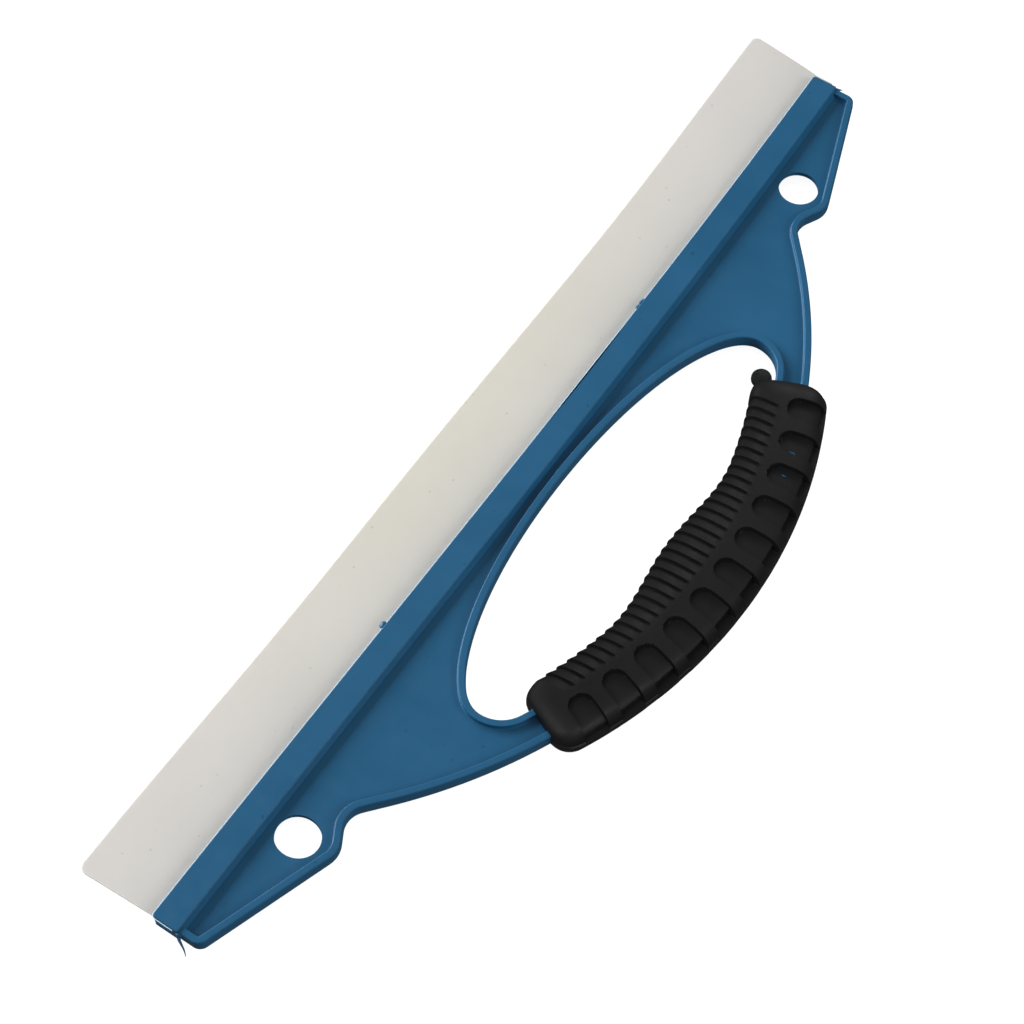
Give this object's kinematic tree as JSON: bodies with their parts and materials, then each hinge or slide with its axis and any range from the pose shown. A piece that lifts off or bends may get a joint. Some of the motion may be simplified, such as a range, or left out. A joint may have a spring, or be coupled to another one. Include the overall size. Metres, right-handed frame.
{
  "type": "squeegee",
  "caption": "Hand squeegee: ribbed plastic frame with a straight bar, a flexible silicone blade and a bowed handle with a ridged rubber grip around a finger loop.",
  "frame": {"origin": "middle of the underside of the whole tool as it lies on its back: centre of the bounding box in X and Y, lowest point of the grip in Z", "axes": "+X along the blade, +Y from the grip towards the blade's wiping edge, +Z out of the front face"},
  "size_m": [0.306, 0.0928, 0.014],
  "materials": {
    "frame_plastic": "satin injection moulding",
    "silicone": "translucent milky silicone, smooth and matt",
    "grip_rubber": "matt overmoulded rubber"
  },
  "bodies": {
    "frame": {"frame": "frame_plastic", "blade_root": "silicone", "grip": "grip_rubber"},
    "blade_lip": {"blade_lip": "silicone"}
  },
  "joints": [
    {"name": "blade_flex", "type": "hinge", "parent": "frame", "child": "blade_lip", "pos_m": [0, 0.0253, 0.007], "axis": [1, 0, 0], "range_deg": [-40, 40], "stiffness_Nm_per_rad": 0.06}
  ]
}
